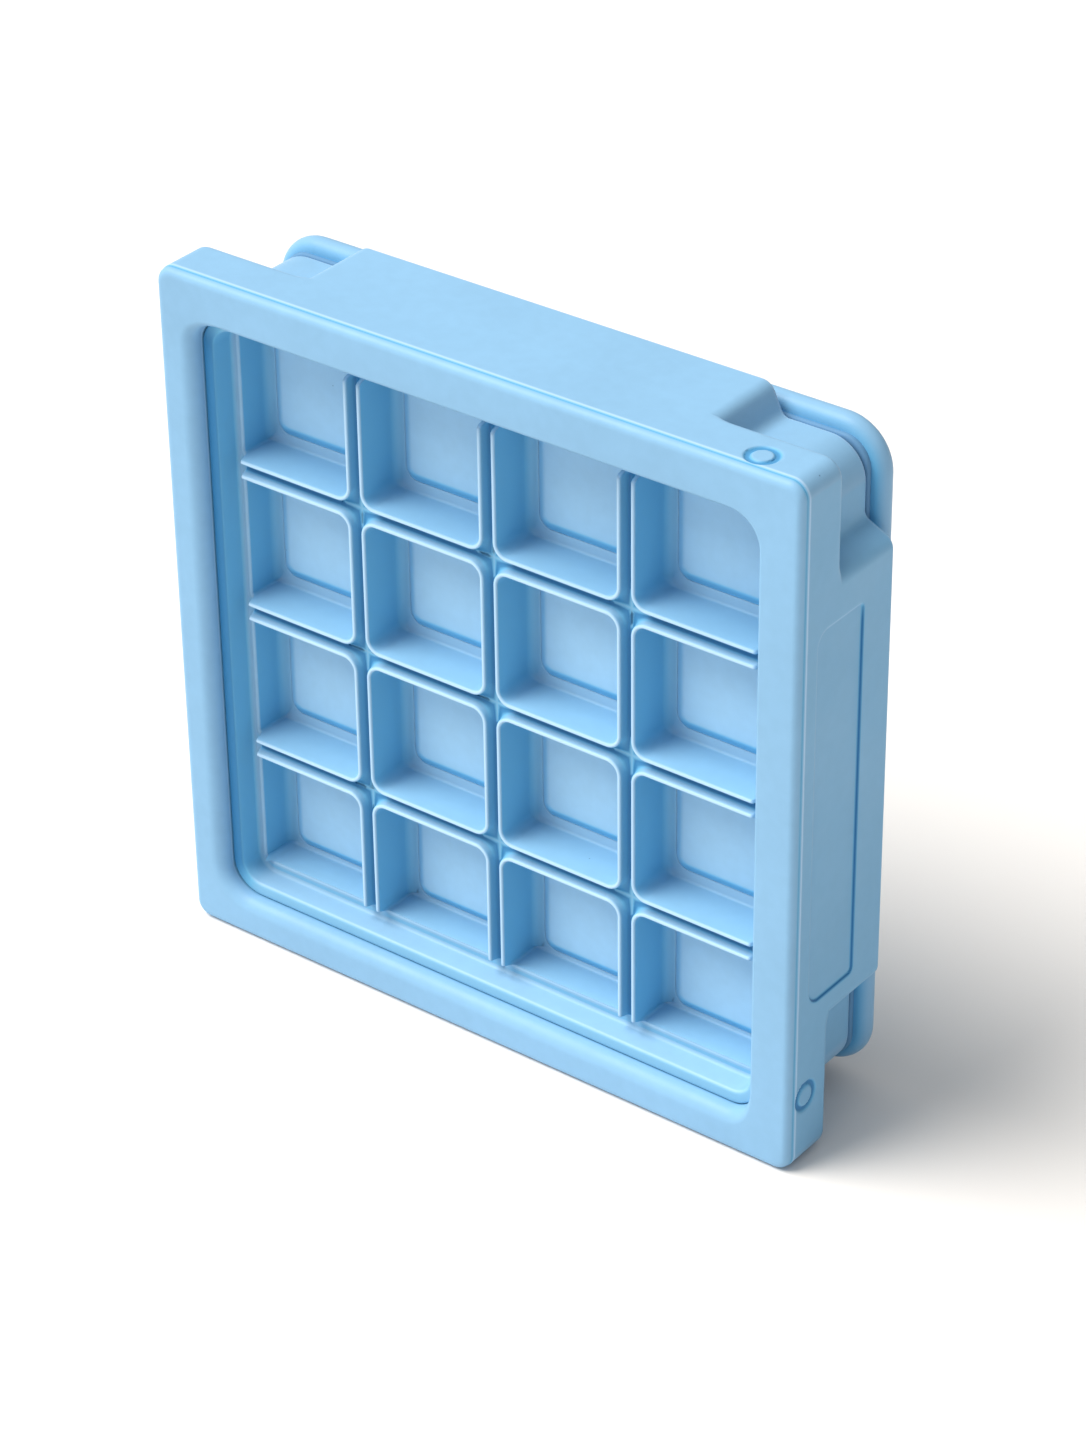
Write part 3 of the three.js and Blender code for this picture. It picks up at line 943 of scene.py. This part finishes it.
def wall_sheet():
    """The wall round the tray: fillet, drafted wall, rounded top, outside and underside. `out` and `far`
    move its inside and its outside outwards."""
    wall = TRAY_HALF - TRAY_WALL
    outside = TRAY_HALF + 0.1
    stations = []
    out = (0, 0, 0, 0.55)
    far = (0.35, 0, 0, 0.65)
    # Painted shade down the wall's inside and over its top, darkest on the left; the lower side's inner top
    # edge has a painted highlight
    tone = (0, 0.25, 0.25, 0.45)
    top = (0.22, 0.15, 0.15, 0.95)
    for a in quarter(9):
        half = wall - WEB_FILLET + WEB_FILLET * math.sin(a)
        depth = WEB_FRONT - WEB_FILLET + WEB_FILLET * math.cos(a)
        shade = tuple(v * math.sin(a) for v in tone)
        stations.append((half, 3.8 - (wall - half), depth, 0, shade, out))
    stations += [
        (wall + 0.03, 3.8, 5.6, 0, tone, out),
        (wall + 0.06, 3.8, TRAY_FRONT + 0.6, 0, tone, out),
        (wall + 0.13, 3.9, TRAY_FRONT + 0.3, (0.3, 0, 0, 0), (0, 0.15, 0.15, 0.5), out),
        (wall + 0.3, 4.0, TRAY_FRONT + 0.1, (0.3, 0, 0, 0), (0.1, 0.15, 0.15, 0.9), out),
        (wall + 0.55, 4.2, TRAY_FRONT + 0.02, 0, top, out),
        (wall + 0.8, 4.5, TRAY_FRONT, 0, top, out),
        (outside - 0.4, 5.3, TRAY_FRONT, 0, top, far),
        (outside - 0.1, 5.6, TRAY_FRONT + 0.02, 0, top, far),
        (outside, 5.7, TRAY_FRONT + 0.1, 0, (0.5, 0.2, 0.2, 0.7), far),
        (outside, 5.7, TRAY_FRONT + 0.7, 0, 0.1),
        (outside, 5.7, WEB_BACK - 0.2, 0, 0.1),
        (outside - 0.2, 5.5, WEB_BACK),
        (wall - WEB_FILLET, 3.0, WEB_BACK),
    ]
    return profile_sheet(stations, np.linspace(-1, 1, 13), 11, True)


class MESH_OT_cryo_tray(bpy.types.Operator):
    """Build the tray: sixteen rimmed cells on one web, inside a thin wall"""

    bl_idname = "mesh.cryo_tray"
    bl_label = "Build cell tray"

    def execute(self, context):
        s = context.scene.cryo_tray
        sheets = [cell_sheet(row, col, s) for row, col in CELL_PLACES]
        sheets.append(wall_sheet())
        obj = grid_object("moulded_cell_tray", sheets)
        look = context.scene.cryo_look
        paler = tuple(v * k for v, k in zip(look.plastic, TRAY_TINT))
        material = plastic("Tray plastic", paler, shared_groups(), look.roughness, 0.75, 0.95)
        finish_piece(obj, "tray", ["cell_tray"], material, 60)
        return {"FINISHED"}


def pad_sheet():
    """One pad about the box's middle: a flat top, an easy slope down to the joint, an upright edge and a
    flat underside."""
    top = PAD_FRONT
    profile = [
        (0.3, 0.1, top),
        (6.5, 1.2, top),
        (7.6, 1.3, top),
        # Painted shade down the slope, strongest on the lower side
        (7.95, 1.4, top + 0.02, 0, (0.1, 0, 0, 0)),
        (8.25, 1.5, top + 0.08, 0, (0.5, 0.05, 0.05, 0.05)),
        (8.6, 1.6, top + 0.2, 0, (0.6, 0.1, 0.1, 0.15)),
        (9.0, 1.8, top + 0.4, 0, (0.6, 0.1, 0.1, 0.2)),
        (9.4, 2.1, top + 0.66, 0, (0.6, 0.1, 0.1, 0.2)),
        (9.75, 2.35, top + 0.9, 0, (0.5, 0.1, 0.1, 0.15)),
        (PAD_HALF + 0.06, 2.5, top + 1.0, 0, (0.2, 0, 0, 0)),
        (PAD_HALF + 0.06, 2.5, PAD_BACK - 0.1, 0, 0.1),
        (PAD_HALF - 0.1, 2.4, PAD_BACK),
        (0.3, 0.1, PAD_BACK),
    ]
    return profile_sheet(profile, np.linspace(-1, 1, 7), 9, False)


class MESH_OT_cryo_pads(bpy.types.Operator):
    """Build the sixteen pads that lie in the bottoms of the cells"""

    bl_idname = "mesh.cryo_pads"
    bl_label = "Build cell pads"

    def execute(self, context):
        look = context.scene.cryo_look
        # A brighter copy of the plastic, painted light on the pads in the cell floors
        paler = tuple(v * k for v, k in zip(look.plastic, PAD_TINT))
        material = plastic("Pad plastic", paler, shared_groups(), look.roughness + 0.08, 0.3, 0.9)
        points, *rest = pad_sheet()
        for row, col in CELL_PLACES:
            node = "cell_pad_r%dc%d" % (row, col)
            lo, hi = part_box(node)
            cx = ((lo.x + hi.x) / 2 - MID_X) / MM
            cz = ((lo.z + hi.z) / 2 - MID_Z) / MM
            moved = points + np.array([cx * MM, 0, cz * MM])
            obj = grid_object("soft_" + node, [(moved, *rest)])
            finish_piece(obj, "tray", [node], material)
        return {"FINISHED"}


# ---- rear cover, seal and insulation ----


def cover_sheet():
    """The cover: flat back, round-nosed flange, seal groove, plug wall and the hollow inside it."""
    front = SKIRT_END + 0.65
    nose = (COVER_BACK - front - 0.5) / 2
    stations = [(0.5, 0.2, COVER_BACK, 0, 0), (40.0, 4.0, COVER_BACK, 0, 0)]
    # Painted shade on the front part of the flange's nose, by side
    for a in np.linspace(0, math.pi, 17):
        half = COVER_HALF - nose + nose * math.sin(a)
        radius = COVER_RADIUS - (COVER_HALF - half)
        tone = tuple(v * float(step(a, 1.9, 1.2)) for v in (0.4, 0.6, 0.3, 0.4))
        stations.append((half, radius, COVER_BACK - nose + nose * math.cos(a), 0, tone))
    seal_back = SEAL_BACK + 0.2
    # A painted highlight on the flange's inner front edge and the plug's front edge; painted shade round it,
    # in the seal's groove and inside the plug
    stations += [
        (60.62, 6.2, front + 0.45, 0, 0.9),
        (60.55, 6.1, front + 0.2, 0.2, 0.4),
        (60.48, 6.0, front + 0.02, 0.9),
        (60.25, 5.9, front, 0.9),
        (60.15, 5.8, front, 0, 0.4),
        (59.9, 5.6, front + 0.05, 0, 0.5),
        (59.85, 5.6, seal_back, 0, 1.0),
        (58.95, 4.7, seal_back, 0, 1.0),
        (58.9, 4.7, front, 0, 1.0),
        (PLUG_HALF, 4.6, front, 0, 1.0),
        (PLUG_HALF, 4.6, PLUG_FRONT + 0.4),
        (PLUG_HALF - 0.4, 4.2, PLUG_FRONT, 0.3),
        (PLUG_HALF - 1.9, 3.0, PLUG_FRONT, 0.3),
        (PLUG_HALF - PLUG_WALL, 3.0, PLUG_FRONT + 0.3),
        (PLUG_HALF - PLUG_WALL, 3.0, COVER_BACK - 2.3, 0, 0.5),
        (0.5, 0.2, COVER_BACK - 2.2),
    ]
    return profile_sheet(stations, COVER_SIDES, 15, False)


def seal_sheet():
    """The seal: a ring with a rounded front."""
    half, first, last = SEAL_HALF, SEAL_FRONT, SEAL_BACK
    # Painted highlight on the rounded front
    ring = [
        (half, 5.4, first + 0.35),
        (half - 0.25, 5.2, first + 0.08, 0.2),
        (half - 0.6, 5.0, first, 0.2),
        (half - 1.1, 5.0, first, 0.2),
        (half - 1.45, 4.9, first + 0.08, 0.2),
        (half - 1.7, 4.9, first + 0.35),
        (half - 1.7, 4.9, last - 0.1),
        (half - 1.6, 4.9, last),
        (half - 0.1, 5.3, last),
        (half, 5.4, last - 0.1),
    ]
    return profile_sheet(ring, COVER_SIDES, 11, True)


def slab_sheet():
    """The insulation slab, with its edges eased front and back."""
    half, first, last = SLAB_HALF, SLAB_FRONT, SLAB_BACK
    # Painted highlight on the eased edges
    block = [
        (0.5, 0.2, first),
        (half - 1.0, 2.4, first),
        (half - 0.5, 2.7, first + 0.1, 0.1),
        (half - 0.12, 3.0, first + 0.35, 0.2),
        (half, 3.2, first + 0.8, 0.1),
        (half, 3.2, last - 0.8),
        (half - 0.12, 3.0, last - 0.35, 0.2),
        (half - 0.5, 2.7, last - 0.1, 0.1),
        (half - 1.0, 2.4, last),
        (0.5, 0.2, last),
    ]
    return profile_sheet(block, COVER_SIDES, 9, False)


class MESH_OT_cryo_cover(bpy.types.Operator):
    """Build the rear cover, the seal in its groove and the insulation slab it carries"""

    bl_idname = "mesh.cryo_cover"
    bl_label = "Build rear cover"

    def execute(self, context):
        look = context.scene.cryo_look
        groups = shared_groups()
        cover = grid_object("moulded_rear_cover", [cover_sheet()])
        material = plastic("Cover plastic", look.plastic, groups, look.roughness, 0.6, 0.8)
        finish_piece(cover, "cover", ["rear_cover"], material, 50)

        seal = grid_object("silicone_seal", [seal_sheet()])
        rubber = plastic("Silicone", look.seal, groups, 0.6, 0.1, 0.2)
        finish_piece(seal, "cover", ["cover_seal"], rubber, 50)

        slab = grid_object("foam_slab", [slab_sheet()])
        foam = plastic("Closed-cell foam", look.foam, groups, 0.85, 0.2, 0.2)
        finish_piece(slab, "cover", ["insulation_slab"], foam)
        return {"FINISHED"}


# ---- stage ----


def floor_material():
    """A pale matt sweep, faintly uneven."""
    material = bpy.data.materials.new("Studio floor")
    material.use_nodes = True
    tree = material.node_tree
    shader = tree.nodes["Principled BSDF"]
    cloud = spread(tree, noise(tree, 3.0, 2.0), 0.3, 0.7)
    colour = blend(tree, cloud, (0.79, 0.79, 0.785, 1), (0.81, 0.81, 0.805, 1))
    tree.links.new(colour, shader.inputs["Base Color"])
    tree.links.new(spread(tree, noise(tree, 40.0, 2.0), 0.3, 0.7, 0.75, 0.85), shader.inputs["Roughness"])
    shader.inputs["Specular IOR Level"].default_value = 0.1
    return material


def axes(right, up, back, where):
    """The matrix of an object that looks along -back."""
    basis = np.eye(4)
    basis[:3, 0], basis[:3, 1], basis[:3, 2], basis[:3, 3] = right, up, back, where
    return Matrix(basis.tolist())


def key_light(name, irradiance, towards, softness):
    """A broad, even key light shining from the direction `towards`, as soft as its angle in degrees."""
    data = bpy.data.lights.new(name, "SUN")
    data.energy = irradiance
    data.color = KEY_COLOUR
    data.angle = math.radians(softness)
    light = bpy.data.objects.new(name, data)
    bpy.context.scene.collection.objects.link(light)
    back = np.array(towards) / np.linalg.norm(towards)
    right = np.cross([0, 0, 1.0], back)
    right /= np.linalg.norm(right)
    up = np.cross(back, right)
    light.matrix_world = axes(right, up, back, back)
    return light


def surroundings(strength):
    """White surroundings whose strength rises evenly towards the upper left front."""
    world = bpy.data.worlds.new("Studio")
    world.use_nodes = True
    tree = world.node_tree
    background = tree.nodes["Background"]
    background.inputs["Color"].default_value = (1.0, 1.0, 1.0, 1)
    where = tree.nodes.new("ShaderNodeTexCoord")
    along = tree.nodes.new("ShaderNodeVectorMath")
    along.operation = "DOT_PRODUCT"
    along.inputs[1].default_value = SKY_TOWARDS
    tree.links.new(where.outputs["Generated"], along.inputs[0])
    level = spread(tree, along.outputs["Value"], -1.0, 1.0, strength * SKY_LOW, strength * SKY_HIGH)
    tree.links.new(level, background.inputs["Strength"])
    return world


def studio_camera(s):
    """The camera. Its axes follow from its azimuth, elevation and roll."""
    az, el, roll = s.azimuth, s.elevation, s.roll
    ahead = np.array([-math.sin(az) * math.cos(el), math.cos(az) * math.cos(el), -math.sin(el)])
    level_right = np.array([math.cos(az), math.sin(az), 0.0])
    level_up = np.cross(level_right, ahead)
    right = level_right * math.cos(roll) + level_up * math.sin(roll)
    up = -level_right * math.sin(roll) + level_up * math.cos(roll)
    lens = bpy.data.cameras.new("Camera")
    lens.sensor_fit = "VERTICAL"
    lens.sensor_height = SENSOR
    lens.lens = s.lens
    lens.clip_start = 0.01
    lens.clip_end = 50.0
    camera = bpy.data.objects.new("Camera", lens)
    camera.matrix_world = axes(right, up, -ahead, tuple(s.place))
    bpy.context.scene.collection.objects.link(camera)
    return camera


class SCENE_OT_cryo_stage(bpy.types.Operator):
    """Build the studio: pale floor, even surroundings, one soft key light and the camera"""

    bl_idname = "scene.cryo_stage"
    bl_label = "Build stage"

    def execute(self, context):
        """The floor is a flat square at the box's lowest level."""
        s = context.scene.cryo_stage
        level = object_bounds()[0].z
        mesh = bpy.data.meshes.new("studio_floor")
        corners = [(x * FLOOR_HALF, y * FLOOR_HALF, level) for x, y in ((-1, -1), (1, -1), (1, 1), (-1, 1))]
        mesh.from_pydata(corners, [], [(0, 1, 2, 3)])
        mesh.materials.append(floor_material())
        floor = bpy.data.objects.new("studio_floor", mesh)
        context.scene.collection.objects.link(floor)
        key = key_light("Key light", s.key_power, KEY_FROM, KEY_SOFTNESS)
        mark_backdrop(floor, key)
        context.scene.world = surroundings(s.ambient)

        context.scene.camera = studio_camera(s)
        context.scene.view_settings.view_transform = "Standard"
        context.scene.view_settings.look = "None"
        return {"FINISHED"}


class VIEW3D_PT_cryo_box(bpy.types.Panel):
    """Sidebar panel that lists the settings and the build steps"""

    bl_idname = "VIEW3D_PT_cryo_box"
    bl_label = "Cryogenic Storage Box"
    bl_space_type = "VIEW_3D"
    bl_region_type = "UI"
    bl_category = "Cryo Box"

    def draw(self, context):
        layout = self.layout
        groups = (
            ("cryo_shell", ["mesh.cryo_shell"]),
            ("cryo_tray", ["mesh.cryo_tray", "mesh.cryo_pads"]),
            ("cryo_look", ["mesh.cryo_cover"]),
            ("cryo_stage", ["scene.cryo_stage"]),
        )
        for name, operators in groups:
            box = layout.box()
            settings = getattr(context.scene, name)
            for key in settings.bl_rna.properties.keys():
                if key not in ("rna_type", "name"):
                    box.prop(settings, key)
            for operator in operators:
                box.operator(operator)


SETTINGS = (
    ("cryo_shell", CryoShellSettings),
    ("cryo_tray", CryoTraySettings),
    ("cryo_look", CryoLookSettings),
    ("cryo_stage", CryoStageSettings),
)
CLASSES = (
    CryoShellSettings,
    CryoTraySettings,
    CryoLookSettings,
    CryoStageSettings,
    MESH_OT_cryo_shell,
    MESH_OT_cryo_tray,
    MESH_OT_cryo_pads,
    MESH_OT_cryo_cover,
    SCENE_OT_cryo_stage,
    VIEW3D_PT_cryo_box,
)


def register():
    for cls in CLASSES:
        bpy.utils.register_class(cls)
    for name, cls in SETTINGS:
        setattr(bpy.types.Scene, name, bpy.props.PointerProperty(type=cls))


def unregister():
    for name, _ in SETTINGS:
        delattr(bpy.types.Scene, name)
    for cls in reversed(CLASSES):
        bpy.utils.unregister_class(cls)


def main():
    register()
    bpy.ops.mesh.cryo_shell()
    bpy.ops.mesh.cryo_tray()
    bpy.ops.mesh.cryo_pads()
    bpy.ops.mesh.cryo_cover()
    bpy.ops.scene.cryo_stage()


if __name__ == "__main__":
    main()
